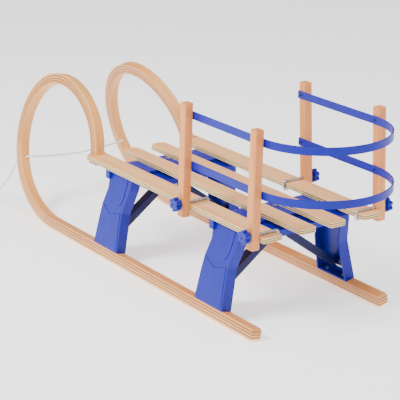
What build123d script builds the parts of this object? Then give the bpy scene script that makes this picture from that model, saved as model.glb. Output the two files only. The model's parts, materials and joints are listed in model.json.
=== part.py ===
from build123d import *
import os
from math import cos, pi, radians, sin, sqrt, tan

# Wooden horn sledge with a clamp-on back rest, in millimetres.
# X runs forward from the runners' rear ends while the pieces are made, Y points to the
# left and Z points up. The export moves the middle of the whole length to X = 0.

# ---- Driving dimensions -------------------------------------------------------------
SPLAY = 11.5                # lean of each side frame, feet outward, degrees
GROUND_WIDTH = 376          # between the outer bottom edges of the runners
SEAT_TOP = 225              # height of the slats' top faces

# Runner and horn, one bent bar on each side
BAR_WIDTH = 25
BAR_THICK = 26
RUNNER_STRAIGHT = 863.9
HORN_ARCS = ((270, 38), (182, 142), (240, 40), (170, 37))   # outer radius, degrees
HORN_TAIL = 60              # straight end of the bar before it is cut at the seat
BAR_ROUND = 2
REAR_CHAMFER = 5
ROPE_HOLE_ANGLE = -24.3     # place of the rope hole on the second arc, degrees
ROPE_HOLE_R = 4

# Seat slats
SLAT_THICK = 12
OUTER_SLAT_WIDTH = 50
INNER_SLAT_WIDTH = 41.5
CENTRE_GAP = 38             # between the two inner slats
INNER_SLAT_SETBACK = 12     # inner slats end this far behind the outer ones
SLAT_CORNER = 11            # clipped at the front ends
SLAT_REAR_CORNER = 4
SLAT_EDGE = 0.8

# Legs
FRONT_LEG_X = 602
REAR_LEG_X = 167
LEG_WALL = 4
LEG_BLOCK = 14              # solid head of a leg under the slat
LEG_BEND_R = 18
LEG_FRONT_EDGE = ((53, 0), (46, 0.37), (41, 0.53), (27, 0.74), (31, 1.0))
LEG_REAR_EDGE = ((-71, 1.0), (-66, 0.82), (-47, 0.5), (-52, 0))
GROOVE_LINE = ((-32, 0.58), (-43, 0.66), (-47, 0.76), (-51, 0.86), (-50, 0.96))
GROOVE_WIDTH = 2.6
GROOVE_DEPTH = 1.2
PANEL_LINE = ((47, 0.02), (37, 0.52), (3, 0.43), (-41, 0.5), (-47, 0.02))
PANEL_RISE = 1.2            # raised lower panel on a leg's outer face
PANEL_CHAMFER = 0.96
LUG_X = 29.5                # middle of the outer lug, ahead of the leg's middle
LUG_SIZE = (18, 11, 22)
LUG_ROUND = 3
LUG_SINK = 1                # how far the lug reaches into the leg

# Crossbeams, struts and centre brackets
BEAM_WALL = 4
BEAM_DEPTH = 22
BEAM_REAR = -97             # from the leg's middle
BEAM_STEP_X = -42           # behind this the beam's top is lower
BEAM_STEP = 8
BEAM_FRONT = 53
STRUT_WIDTH = 24
STRUT_DEPTH = 17
STRUT_WALL = 3
STRUT_CENTRE_DROP = 50      # from the seat to a strut's middle line at the bracket
PIN_R = 4
PIN_HEIGHT = 57             # up the side frame
PIN_INSET = 16              # in from the side frame's outer face
PIN_COVER = 1.5             # leg wall left over each end of a pin
PIN_END_GAP = 0.2
BRACKET_THICK = 4
BRACKET_WIDTH = 64
BRACKET_FLANGE = 32
BRACKET_DROP = 65           # from the seat to a bracket's lower edge
BOLT_R = 3
BOLT_SPREAD = 20
BEAM_BOLT_Y = 10
STRUT_BOLT_DROP = 54        # from the seat to the bolt through the struts' ends

# Screws
SCREW_R = 2.5
SCREW_HEAD_R = 4.6
SCREW_HEAD_H = 3
SCREW_FIT = 0.1             # radial clearance of screws, bolts and pins
DRILL_PAST = 1              # how far a drill runs on past a face

# Back rest
POST_WIDTH = 21.5
POST_DEPTH = 20.5
POST_BELOW = 28
POST_ABOVE = 229
POST_LEAN = 2
POST_CHAMFER = 1.5
POST_TO_SLAT = 0.1
FRONT_POST_X = 281
REAR_POST_X = 23
BAND_HEIGHT = 17
BAND_THICK = 3
BAND_ARC_X = 19             # centre of the band's half circle
BAND_TO_POST = 0.02
BAND_RISES = {"upper": 192, "lower": 81}    # from the seat to a band's lower edge
RIVET_R = 1.5
RIVET_LENGTH = 15
RIVET_HEAD_R = 2.8
RIVET_HEAD_H = 1.1

# Hook bolts and star knobs
HOOK_R = 3
HOOK_GAP = 0.3              # air between a hook bolt and what it passes
HOOK_BEND = 4
HOOK_TAIL = 12
KNOB_BORE_FIT = 0.08
KNOB_BOSS_R = 8.5
KNOB_BOSS_H = 5
KNOB_STAR_H = 13
KNOB_CORE_R = 12
KNOB_LOBES = 6
KNOB_LOBE_R = 4.6
KNOB_LOBE_AT = 11.6
KNOB_CHAMFER = 1
HOOK_END_RECESS = 2

# Horn caps
CAP_SIZE = (38, 38, 9)
CAP_SHIFT = -8
CAP_ROUND = 5
CAP_UNDER_ROUND = 2
HORN_BOLT_REACH = 30        # into the horn above the slat

# Pull rope
ROPE_R = 2.5
COIL_MIDDLE_R = 27.5
COIL_HALF_WIDTH = 5.2
COIL_HEIGHT = 10.4
COIL_STEP = 5.2             # from one turn of rope to the next
COIL_ROUND = 4.5
ROPE_AHEAD = 15             # where the rope starts, ahead of the hole's middle
ROPE_ARC_SHARE = 0.45       # of the shorter run that a corner's arc takes up
KNOT_SINK = 1               # how far the coil reaches into the end knot
STOP_KNOT_R = 7
END_KNOT_R = 6.5

# ---- Worked-out places --------------------------------------------------------------
SEAT_UNDER = SEAT_TOP - SLAT_THICK
STRUT_CENTRE_Z = SEAT_TOP - STRUT_CENTRE_DROP
STRUT_BOLT_Z = SEAT_TOP - STRUT_BOLT_DROP
BRACKET_BOTTOM = SEAT_TOP - BRACKET_DROP
BAND_BOTTOMS = {level: SEAT_TOP + rise for level, rise in BAND_RISES.items()}
HALF_GROUND = GROUND_WIDTH / 2
# The sole is canted, so only its rounded inner edge touches the ground.
SOLE_LIFT = BAR_WIDTH * sin(radians(SPLAY)) - BAR_ROUND * (
    sin(radians(SPLAY)) + cos(radians(SPLAY)) - 1
)
LEG_TOP = (SEAT_UNDER - SOLE_LIFT) / cos(radians(SPLAY))      # up the outer face
HUGE = 3000

parts = {}


# ---- Helpers ------------------------------------------------------------------------
def in_side_frame(shape):
    """Place a shape made with X forward, Y outward and Z up a side frame."""
    return Pos(0, HALF_GROUND, SOLE_LIFT) * Rot(SPLAY, 0, 0) * shape


def side_point(x, out, up):
    """Return the world point of a place in the left side frame."""
    tilt = radians(SPLAY)
    y = HALF_GROUND + out * cos(tilt) - up * sin(tilt)
    z = SOLE_LIFT + out * sin(tilt) + up * cos(tilt)
    return Vector(x, y, z)


def to_right(shape):
    """Return the mirror image on the right side."""
    return mirror(shape, about=Plane.XZ)


def beyond(out):
    """Return the space outside a depth of the left and right side frames."""
    block = Pos(0, out + HUGE / 2, 0) * Box(HUGE, HUGE, HUGE)
    left = in_side_frame(block)
    return left, to_right(left)


def above(z):
    """Return the space over a height."""
    return Pos(0, 0, z + HUGE / 2) * Box(HUGE, HUGE, HUGE)


def rod(radius, start, end):
    """Return a round rod between two points."""
    axis = Vector(*end) - Vector(*start)
    plane = Plane(origin=Vector(*start), z_dir=axis)
    return extrude(plane * Circle(radius), amount=axis.length)


def screw(radius, head_radius, head_height, seat, tip):
    """Return a screw whose head bears on seat and whose shank ends at tip."""
    axis = (Vector(*seat) - Vector(*tip)).normalized()
    head_top = Vector(*seat) + axis * head_height
    return rod(radius, head_top, tip) + rod(head_radius, seat, head_top)


def add_pair(name, left):
    """Keep a left piece and its mirror image."""
    parts["left_" + name] = left
    parts["right_" + name] = to_right(left)


# ---- Runners and horns --------------------------------------------------------------
def horn_centres():
    """Return each arc's centre, outer radius, start angle and turn, and the end."""
    x, up, heading = RUNNER_STRAIGHT, 0, 0
    arcs = []
    for radius, turn in HORN_ARCS:
        angle = radians(heading)
        centre = (x - radius * sin(angle), up + radius * cos(angle))
        arcs.append((centre, radius, heading - 90, turn))
        heading += turn
        x = centre[0] + radius * sin(radians(heading))
        up = centre[1] - radius * cos(radians(heading))
    return arcs, (x, up), radians(heading)


ARCS, BEND_END, BEND_HEADING = horn_centres()
HORN_FRONT_X = ARCS[1][0][0] + ARCS[1][1]


def make_bar():
    """Return the left runner and horn, cut level where it stands on the slat."""
    along = Vector(cos(BEND_HEADING), sin(BEND_HEADING))
    inward = Vector(-sin(BEND_HEADING), cos(BEND_HEADING))
    outer_end = Vector(*BEND_END) + along * HORN_TAIL
    inner_end = outer_end + inward * BAR_THICK
    cut = REAR_CHAMFER
    edges = [Line((cut, 0), (RUNNER_STRAIGHT, 0))]
    edges += [CenterArc(c, r, start, turn) for c, r, start, turn in ARCS]
    edges += [Line(BEND_END, outer_end), Line(outer_end, inner_end)]
    edges.append(Line(inner_end, Vector(*BEND_END) + inward * BAR_THICK))
    edges += [CenterArc(c, r - BAR_THICK, start, turn) for c, r, start, turn in ARCS]
    edges.append(Line((RUNNER_STRAIGHT, BAR_THICK), (cut, BAR_THICK)))
    edges.append(Line((cut, BAR_THICK), (0, BAR_THICK - cut)))
    edges.append(Line((0, BAR_THICK - cut), (0, cut)))
    edges.append(Line((0, cut), (cut, 0)))
    bar = extrude(Plane.XZ * make_face(edges), amount=BAR_WIDTH)
    rims = [e for e in bar.edges() if abs(e.center().Y + BAR_WIDTH / 2) > 1]
    bar = fillet(rims, BAR_ROUND)
    centre, radius = ARCS[1][0], ARCS[1][1]
    middle = radius - BAR_THICK / 2
    hole_x = centre[0] + middle * cos(radians(ROPE_HOLE_ANGLE))
    hole_up = centre[1] + middle * sin(radians(ROPE_HOLE_ANGLE))
    drill = Cylinder(ROPE_HOLE_R, BAR_THICK * 2)
    bar -= Pos(hole_x, -BAR_WIDTH / 2, hole_up) * Rot(0, 90 - ROPE_HOLE_ANGLE, 0) * drill
    bar = in_side_frame(bar)
    tail_space = Pos(BEND_END[0], HALF_GROUND, SEAT_TOP - HORN_TAIL) * Box(
        2 * HORN_TAIL, GROUND_WIDTH, 2 * HORN_TAIL
    )
    return bar - tail_space, (hole_x, hole_up)


bar, ROPE_HOLE = make_bar()
horn_end = [f for f in bar.faces() if abs(f.center().Z - SEAT_TOP) < 0.01][0]
HORN_END = horn_end.center()
OUTER_SLAT_LENGTH = horn_end.bounding_box().max.X
horn_drill = rod(
    BOLT_R + SCREW_FIT,
    (HORN_END.X, HORN_END.Y, SEAT_TOP - DRILL_PAST),
    (HORN_END.X, HORN_END.Y, SEAT_TOP + HORN_BOLT_REACH + DRILL_PAST),
)
LEG_SCREW_X = 28
LEG_SCREW_DEPTH = 18
LEGS = {"front": FRONT_LEG_X, "rear": REAR_LEG_X}


def runner_screw_places():
    """Return the four places along a runner where a leg is screwed on."""
    return [leg + side * LEG_SCREW_X for leg in LEGS.values() for side in (-1, 1)]


leg_screws = []
for place in runner_screw_places():
    seat = side_point(place, -BAR_WIDTH / 2, BAR_THICK + LEG_WALL)
    tip = side_point(place, -BAR_WIDTH / 2, BAR_THICK - LEG_SCREW_DEPTH)
    leg_screws.append(screw(SCREW_R, SCREW_HEAD_R, SCREW_HEAD_H, seat, tip))
    bar -= rod(SCREW_R + SCREW_FIT, seat, tip)
add_pair("runner", bar - horn_drill)

# ---- Seat slats ---------------------------------------------------------------------
OUTER_SLAT_Y = side_point(0, -BAR_WIDTH / 2, LEG_TOP).Y
INNER_SLAT_Y = (CENTRE_GAP + INNER_SLAT_WIDTH) / 2
INNER_SLAT_LENGTH = OUTER_SLAT_LENGTH - INNER_SLAT_SETBACK
SLAT_SCREW_DEPTH = 8


def make_slat(length, width, y):
    """Return one slat with clipped corners and eased edges."""
    slat = Pos(length / 2, y, SEAT_TOP - SLAT_THICK / 2) * Box(length, width, SLAT_THICK)
    corners = slat.edges().filter_by(Axis.Z).sort_by(Axis.X)
    slat = chamfer(corners[:2], SLAT_REAR_CORNER)
    corners = slat.edges().filter_by(Axis.Z).sort_by(Axis.X)
    slat = chamfer(corners[-2:], SLAT_CORNER)
    rims = slat.edges().group_by(Axis.Z)
    return chamfer(rims[0] + rims[-1], SLAT_EDGE)


outer_slat = make_slat(OUTER_SLAT_LENGTH, OUTER_SLAT_WIDTH, OUTER_SLAT_Y)
inner_slat = make_slat(INNER_SLAT_LENGTH, INNER_SLAT_WIDTH, INNER_SLAT_Y)
outer_slat -= rod(
    BOLT_R + SCREW_FIT,
    (HORN_END.X, HORN_END.Y, SEAT_UNDER - DRILL_PAST),
    (HORN_END.X, HORN_END.Y, SEAT_TOP + DRILL_PAST),
)

# ---- Legs ---------------------------------------------------------------------------
LEG_RISE = LEG_TOP + BAR_WIDTH * tan(radians(SPLAY)) - BAR_THICK
POCKET_TOP = LEG_TOP - LEG_BLOCK
SLAT_SCREW_X = -15
BEAM_SCREW_X = (-32, 10)
BEAM_SCREW_UP = LEG_TOP - LEG_BLOCK / 2
BEAM_SCREW_REACH = 13


def make_leg(x):
    """Return a left leg, a tray open to the inside, with its screw and pin holes."""
    shape = [(x + dx, BAR_THICK + share * LEG_RISE) for dx, share in LEG_FRONT_EDGE]
    shape += [(x + dx, BAR_THICK + share * LEG_RISE) for dx, share in LEG_REAR_EDGE]
    outline = make_face(Polyline(shape, close=True))
    low, high = BAR_THICK + DRILL_PAST, BAR_THICK + LEG_RISE - DRILL_PAST
    bends = [v for v in outline.vertices() if low < v.Y < high]
    outline = fillet(bends, LEG_BEND_R)
    leg = extrude(Plane.XZ * outline, amount=BAR_WIDTH)
    pocket = extrude(
        Plane.XZ.offset(LEG_WALL) * offset(outline, -LEG_WALL, kind=Kind.INTERSECTION),
        amount=BAR_WIDTH,
    )
    leg -= pocket - above(POCKET_TOP)
    line = [(x + dx, BAR_THICK + share * LEG_RISE) for dx, share in GROOVE_LINE]
    groove = extrude(Plane.XZ * trace(Spline(line), GROOVE_WIDTH), amount=GROOVE_DEPTH)
    panel = [(x + dx, BAR_THICK + share * LEG_RISE) for dx, share in PANEL_LINE]
    raised = extrude(
        Plane.XZ.offset(-PANEL_RISE) * make_face(Polyline(panel, close=True)),
        amount=2 * PANEL_RISE,
    )
    raised = chamfer(raised.faces().sort_by(Axis.Y)[-1].edges(), PANEL_CHAMFER)
    leg = in_side_frame(leg - groove + raised) - above(SEAT_UNDER)
    lug_y = side_point(x, 0, LEG_TOP).Y + LUG_SIZE[1] / 2 - LUG_SINK
    lug = Pos(x + LUG_X, lug_y, SEAT_UNDER - LUG_SIZE[2] / 2) * Box(*LUG_SIZE)
    leg += fillet(lug.edges().filter_by(Axis.Z), LUG_ROUND)
    drills = [rod(PIN_R + SCREW_FIT, *pin_ends(x, -PIN_COVER))]
    for place in (-LEG_SCREW_X, LEG_SCREW_X):
        drills.append(
            rod(
                SCREW_R + SCREW_FIT,
                side_point(x + place, -BAR_WIDTH / 2, BAR_THICK + LEG_WALL + DRILL_PAST),
                side_point(x + place, -BAR_WIDTH / 2, BAR_THICK - DRILL_PAST),
            )
        )
    drills.append(rod(SCREW_R + SCREW_FIT, *outer_slat_screw(x)))
    drills += [rod(SCREW_R + SCREW_FIT, *beam_screw(x + dx)) for dx in BEAM_SCREW_X]
    for drill in drills:
        leg -= drill
    return leg


def pin_ends(x, extra):
    """Return the two ends of a leg's cross pin."""
    share = (PIN_HEIGHT - BAR_THICK) / LEG_RISE / LEG_FRONT_EDGE[1][1]
    front = LEG_FRONT_EDGE[0][0] + share * (LEG_FRONT_EDGE[1][0] - LEG_FRONT_EDGE[0][0])
    rear_low, rear_high = LEG_REAR_EDGE[-1], LEG_REAR_EDGE[-2]
    rise = (PIN_HEIGHT - BAR_THICK) / LEG_RISE / rear_high[1]
    rear = rear_low[0] + rise * (rear_high[0] - rear_low[0])
    start = side_point(x + rear - extra, -PIN_INSET, PIN_HEIGHT)
    return start, side_point(x + front + extra, -PIN_INSET, PIN_HEIGHT)


def outer_slat_screw(x):
    """Return head seat and tip of the screw that holds an outer slat on a leg."""
    place = x + SLAT_SCREW_X
    middle = -BAR_WIDTH / 2
    reach = LEG_TOP + BAR_WIDTH / 2 * tan(radians(SPLAY)) + SLAT_SCREW_DEPTH
    return side_point(place, middle, POCKET_TOP), side_point(place, middle, reach)


def beam_screw(x):
    """Return head seat and tip of a screw from a beam's end into a leg's head."""
    seat = side_point(x, -BAR_WIDTH - BEAM_WALL, BEAM_SCREW_UP)
    return seat, side_point(x, -BAR_WIDTH + BEAM_SCREW_REACH, BEAM_SCREW_UP)


strut_pins, slat_screws, beam_screws = [], [], []
for end, x in LEGS.items():
    add_pair(end + "_leg", make_leg(x))
    strut_pins.append(rod(PIN_R, *pin_ends(x, -PIN_COVER - PIN_END_GAP)))
    seat, tip = outer_slat_screw(x)
    slat_screws.append(screw(SCREW_R, SCREW_HEAD_R, SCREW_HEAD_H, seat, tip))
    outer_slat -= rod(SCREW_R + SCREW_FIT, seat, tip)
    for dx in BEAM_SCREW_X:
        beam_screws.append(
            screw(SCREW_R, SCREW_HEAD_R, SCREW_HEAD_H, *beam_screw(x + dx))
        )

# ---- Crossbeams, brackets and struts ------------------------------------------------
WEB_UNDER = SEAT_UNDER - BEAM_WALL
INNER_SCREW_X = (-25, 35)
BEAM_BOLT_HEAD_R = 6
BEAM_BOLT_HEAD_H = 3.5
NUT_R = 6
NUT_H = 5
STRUT_NUT_R = 5
STRUT_NUT_H = 3.5
BOLT_END = 2                # thread that shows past a nut
BEAM_ROUND = 2


def beam_bolt_places(x):
    """Return the two places where a bracket is bolted to its beam."""
    return [(x - BOLT_SPREAD, BEAM_BOLT_Y), (x + BOLT_SPREAD, -BEAM_BOLT_Y)]


def beam_block(x, wall):
    """Return a beam's stepped block, or the room inside its wall."""
    drop = SEAT_UNDER - wall
    bottom = SEAT_UNDER - BEAM_DEPTH - wall
    outline = [
        (x + BEAM_REAR + wall, bottom),
        (x + BEAM_REAR + wall, drop - BEAM_STEP),
        (x + BEAM_STEP_X + wall, drop - BEAM_STEP),
        (x + BEAM_STEP_X + wall, drop),
        (x + BEAM_FRONT - wall, drop),
        (x + BEAM_FRONT - wall, bottom),
    ]
    face = Plane.XZ.offset(-HALF_GROUND) * make_face(Polyline(outline, close=True))
    return extrude(face, amount=GROUND_WIDTH)


def make_beam(x):
    """Return a crossbeam, a channel open below with closed ends."""
    beam = beam_block(x, 0)
    inside = beam_block(x, BEAM_WALL)
    for space in beyond(-BAR_WIDTH):
        beam -= space
    for space in beyond(-BAR_WIDTH - BEAM_WALL):
        inside -= space
    beam = fillet((beam - inside).edges().filter_by(Axis.Y).group_by(Axis.Z)[-1], BEAM_ROUND)
    for dx in BEAM_SCREW_X:
        drill = rod(SCREW_R + SCREW_FIT, *beam_screw(x + dx))
        beam = beam - drill - to_right(drill)
    for dx in INNER_SCREW_X:
        drill = rod(SCREW_R + SCREW_FIT, *inner_slat_screw(x + dx))
        beam = beam - drill - to_right(drill)
    for bx, by in beam_bolt_places(x):
        beam -= rod(
            BOLT_R + SCREW_FIT,
            (bx, by, WEB_UNDER - DRILL_PAST),
            (bx, by, SEAT_UNDER + DRILL_PAST),
        )
    return beam


def inner_slat_screw(x):
    """Return head seat and tip of a screw from a beam up into an inner slat."""
    tip_z = SEAT_UNDER + SLAT_SCREW_DEPTH
    return (x, INNER_SLAT_Y, WEB_UNDER), (x, INNER_SLAT_Y, tip_z)


def strut_bolt_drill(x):
    """Return the drill across a bracket's stem and the struts' ends."""
    reach = BRACKET_THICK / 2 + STRUT_WALL + DRILL_PAST
    return rod(BOLT_R + SCREW_FIT, (x, -reach, STRUT_BOLT_Z), (x, reach, STRUT_BOLT_Z))


def make_bracket(x):
    """Return a steel tee that hangs under a beam and takes the struts' ends."""
    height = WEB_UNDER - BRACKET_BOTTOM
    stem = Pos(x, 0, BRACKET_BOTTOM + height / 2) * Box(BRACKET_WIDTH, BRACKET_THICK, height)
    flange = Pos(x, 0, WEB_UNDER - BRACKET_THICK / 2) * Box(
        BRACKET_WIDTH, BRACKET_FLANGE, BRACKET_THICK
    )
    bracket = stem + flange
    for bx, by in beam_bolt_places(x):
        bracket -= rod(
            BOLT_R + SCREW_FIT,
            (bx, by, WEB_UNDER - BRACKET_THICK - DRILL_PAST),
            (bx, by, WEB_UNDER + DRILL_PAST),
        )
    return bracket - strut_bolt_drill(x)


def strut_slab(x, width, top, bottom, start, end_y):
    """Return a block along the left strut's line, between two depths about it."""
    pin = side_point(x, -PIN_INSET, PIN_HEIGHT)
    run = Vector(0, BRACKET_THICK / 2 - pin.Y, STRUT_CENTRE_Z - pin.Z).normalized()
    up = Vector(0, run.Z, -run.Y)
    corners = []
    for depth in (top, bottom):
        base = pin + up * depth
        reach = (end_y - base.Y) / run.Y
        corners.append((base + run * start, base + run * reach))
    loop = [corners[0][0], corners[0][1], corners[1][1], corners[1][0]]
    face = make_face(Polyline([(p.Y, p.Z) for p in loop], close=True))
    plane = Plane(origin=(x - width / 2, 0, 0), x_dir=(0, 1, 0), z_dir=(1, 0, 0))
    return extrude(plane * face, amount=width)


def make_strut(x):
    """Return a left strut, a channel open below, from the leg's pin to the bracket."""
    half = STRUT_DEPTH / 2
    pin = side_point(x, -PIN_INSET, PIN_HEIGHT)
    face_y = BRACKET_THICK / 2
    strut = strut_slab(x, STRUT_WIDTH, half, -half, 0, face_y)
    strut += rod(half, (x - STRUT_WIDTH / 2, pin.Y, pin.Z), (x + STRUT_WIDTH / 2, pin.Y, pin.Z))
    inner_width = STRUT_WIDTH - 2 * STRUT_WALL
    strut -= strut_slab(
        x, inner_width, half - STRUT_WALL, -STRUT_DEPTH, -STRUT_DEPTH, face_y + STRUT_WALL
    )
    strut -= rod(PIN_R + SCREW_FIT, *pin_ends(x, DRILL_PAST))
    return strut - strut_bolt_drill(x)


def make_nut(radius, height, base, axis):
    """Return a hexagon nut with its bore, standing on base along axis."""
    plane = Plane(origin=base, z_dir=axis)
    profile = RegularPolygon(radius, 6) - Circle(BOLT_R + SCREW_FIT)
    return extrude(plane * profile, amount=height)


beam_bolts, strut_bolts, nuts = [], [], []
for end, x in LEGS.items():
    parts[end + "_crossbeam"] = make_beam(x)
    parts[end + "_centre_bracket"] = make_bracket(x)
    add_pair(end + "_strut", make_strut(x))
    for bx, by in beam_bolt_places(x):
        nut_top = WEB_UNDER - BRACKET_THICK
        end_z = nut_top - NUT_H - BOLT_END
        seat = (bx, by, SEAT_UNDER)
        beam_bolts.append(
            screw(BOLT_R, BEAM_BOLT_HEAD_R, BEAM_BOLT_HEAD_H, seat, (bx, by, end_z))
        )
        nuts.append(make_nut(NUT_R, NUT_H, (bx, by, nut_top), (0, 0, -1)))
    grip = BRACKET_THICK / 2 + STRUT_WALL
    tip = (x, -grip - STRUT_NUT_H - BOLT_END, STRUT_BOLT_Z)
    seat = (x, grip, STRUT_BOLT_Z)
    strut_bolts.append(screw(BOLT_R, SCREW_HEAD_R, SCREW_HEAD_H, seat, tip))
    nuts.append(make_nut(STRUT_NUT_R, STRUT_NUT_H, (x, -grip, STRUT_BOLT_Z), (0, -1, 0)))
    for dx in INNER_SCREW_X:
        seat, tip = inner_slat_screw(x + dx)
        slat_screws.append(screw(SCREW_R, SCREW_HEAD_R, SCREW_HEAD_H, seat, tip))
        inner_slat -= rod(SCREW_R + SCREW_FIT, seat, tip)

add_pair("outer_slat", outer_slat)
add_pair("inner_slat", inner_slat)

# ---- Horn caps ----------------------------------------------------------------------
cap_x = HORN_END.X + CAP_SHIFT
cap = Pos(cap_x, HORN_END.Y, SEAT_UNDER - CAP_SIZE[2] / 2) * Box(*CAP_SIZE)
cap = fillet(cap.edges().filter_by(Axis.Z), CAP_ROUND)
cap = fillet(cap.edges().group_by(Axis.Z)[0], CAP_UNDER_ROUND)
cap_seat = (HORN_END.X, HORN_END.Y, SEAT_UNDER - CAP_SIZE[2])
cap_tip = (HORN_END.X, HORN_END.Y, SEAT_TOP + HORN_BOLT_REACH)
cap -= rod(BOLT_R + SCREW_FIT, cap_seat, cap_tip)
add_pair("horn_cap", cap)
horn_bolt = screw(BOLT_R, BEAM_BOLT_HEAD_R, BEAM_BOLT_HEAD_H, cap_seat, cap_tip)

# ---- Back rest ----------------------------------------------------------------------
POST_FACE_Y = OUTER_SLAT_Y + OUTER_SLAT_WIDTH / 2 + POST_TO_SLAT
HOOK_Z = SEAT_TOP + HOOK_GAP + HOOK_R
POST_HEIGHT = POST_ABOVE + POST_BELOW
POSTS = {"front": FRONT_POST_X, "rear": REAR_POST_X}


def post_face_y(z):
    """Return where a left post's inner face is at a height."""
    return POST_FACE_Y - (z - SEAT_TOP) * tan(radians(POST_LEAN))


def post_outside_y(z):
    """Return where a left post's outer face is at a height."""
    return post_face_y(z) + POST_DEPTH / cos(radians(POST_LEAN))


def make_post(x):
    """Return a left post with its hook bolt hole and rivet holes."""
    z = (POST_ABOVE - POST_BELOW) / 2
    post = Pos(0, POST_DEPTH / 2, z) * Box(POST_WIDTH, POST_DEPTH, POST_HEIGHT)
    post = chamfer(post.edges(), POST_CHAMFER)
    post = Pos(x, POST_FACE_Y, SEAT_TOP) * Rot(POST_LEAN, 0, 0) * post
    post -= rod(
        HOOK_R + HOOK_GAP,
        (x, POST_FACE_Y - POST_DEPTH, HOOK_Z),
        (x, POST_FACE_Y + 2 * POST_DEPTH, HOOK_Z),
    )
    for level in BAND_BOTTOMS:
        post -= rod(RIVET_R + SCREW_FIT, *rivet_ends(level, x))
    return post


def band_radius(level):
    """Return a band's outer half width, which just meets the leaning posts."""
    return post_face_y(BAND_BOTTOMS[level] + BAND_HEIGHT) - BAND_TO_POST


def rivet_ends(level, x):
    """Return head seat and tip of a left rivet."""
    z = BAND_BOTTOMS[level] + BAND_HEIGHT / 2
    y = band_radius(level) - BAND_THICK
    return (x, y, z), (x, y + RIVET_LENGTH, z)


def band_shape(radius, front):
    """Return a long arch as high as a band, of the given half width."""
    run = front - BAND_ARC_X
    block = Pos(BAND_ARC_X + run / 2, 0, 0) * Box(run, 2 * radius, BAND_HEIGHT)
    return block + Pos(BAND_ARC_X, 0, 0) * Cylinder(radius, BAND_HEIGHT)


def make_band(level):
    """Return one band, round the back from front post to front post."""
    radius = band_radius(level)
    front = FRONT_POST_X + POST_WIDTH / 2
    band = band_shape(radius, front) - band_shape(radius - BAND_THICK, front + DRILL_PAST)
    band = Pos(0, 0, BAND_BOTTOMS[level] + BAND_HEIGHT / 2) * band
    for x in POSTS.values():
        drill = rod(RIVET_R + SCREW_FIT, *rivet_ends(level, x))
        band = band - drill - to_right(drill)
    return band


for end, x in POSTS.items():
    add_pair(end + "_post", make_post(x))
rivets = []
for level in BAND_BOTTOMS:
    parts[level + "_band"] = make_band(level)
    for x in POSTS.values():
        rivets.append(screw(RIVET_R, RIVET_HEAD_R, RIVET_HEAD_H, *rivet_ends(level, x)))

# ---- Hook bolts and star knobs ------------------------------------------------------
KNOB_FACE_Y = post_outside_y(HOOK_Z - KNOB_BOSS_R) + HOOK_GAP
HOOK_END_Y = KNOB_FACE_Y + KNOB_BOSS_H + KNOB_STAR_H - HOOK_END_RECESS
HOOK_DROP_Y = OUTER_SLAT_Y - OUTER_SLAT_WIDTH / 2 - HOOK_GAP - HOOK_R
HOOK_LOW_Z = SEAT_UNDER - HOOK_GAP - HOOK_R


def make_hook(x):
    """Return a left hook bolt, over the slat and back under its inner edge."""
    path = FilletPolyline(
        (x, HOOK_END_Y, HOOK_Z),
        (x, HOOK_DROP_Y, HOOK_Z),
        (x, HOOK_DROP_Y, HOOK_LOW_Z),
        (x, HOOK_DROP_Y + HOOK_TAIL, HOOK_LOW_Z),
        radius=HOOK_BEND,
    )
    section = Plane(origin=(x, HOOK_END_Y, HOOK_Z), z_dir=(0, -1, 0)) * Circle(HOOK_R)
    return sweep(section, path=path)


def make_knob(x):
    """Return a left star knob with a boss towards the post."""
    plane = Plane(origin=(x, KNOB_FACE_Y, HOOK_Z), z_dir=(0, 1, 0))
    star = Circle(KNOB_CORE_R)
    for lobe in PolarLocations(KNOB_LOBE_AT, KNOB_LOBES):
        star += lobe * Circle(KNOB_LOBE_R)
    knob = extrude(plane.offset(KNOB_BOSS_H) * star, amount=KNOB_STAR_H)
    rims = knob.edges().group_by(Axis.Y)
    knob = chamfer(rims[0] + rims[-1], KNOB_CHAMFER)
    knob += extrude(plane * Circle(KNOB_BOSS_R), amount=KNOB_BOSS_H)
    bore = rod(
        HOOK_R + KNOB_BORE_FIT,
        (x, KNOB_FACE_Y - DRILL_PAST, HOOK_Z),
        (x, KNOB_FACE_Y + KNOB_BOSS_H + KNOB_STAR_H + DRILL_PAST, HOOK_Z),
    )
    return knob - bore


for end, x in POSTS.items():
    add_pair(end + "_hook_bolt", make_hook(x))
    add_pair(end + "_star_knob", make_knob(x))

# ---- Fasteners as groups ------------------------------------------------------------
parts["leg_screws"] = Compound(leg_screws + [to_right(s) for s in leg_screws])
parts["slat_screws"] = Compound(slat_screws + [to_right(s) for s in slat_screws])
parts["beam_screws"] = Compound(beam_screws + [to_right(s) for s in beam_screws])
parts["strut_pins"] = Compound(strut_pins + [to_right(p) for p in strut_pins])
parts["beam_bolts"] = Compound(beam_bolts)
parts["strut_bolts"] = Compound(strut_bolts)
parts["nuts"] = Compound(nuts)
parts["horn_bolts"] = Compound([horn_bolt, to_right(horn_bolt)])
parts["band_rivets"] = Compound(rivets + [to_right(r) for r in rivets])

# ---- Pull rope ----------------------------------------------------------------------
hole_axis = Vector(cos(radians(ROPE_HOLE_ANGLE)), sin(radians(ROPE_HOLE_ANGLE)))


def on_hole_axis(ahead):
    """Return the point a distance ahead of the left rope hole's middle."""
    x = ROPE_HOLE[0] + hole_axis.X * ahead
    up = ROPE_HOLE[1] + hole_axis.Y * ahead
    return side_point(x, -BAR_WIDTH / 2, up)


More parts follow.
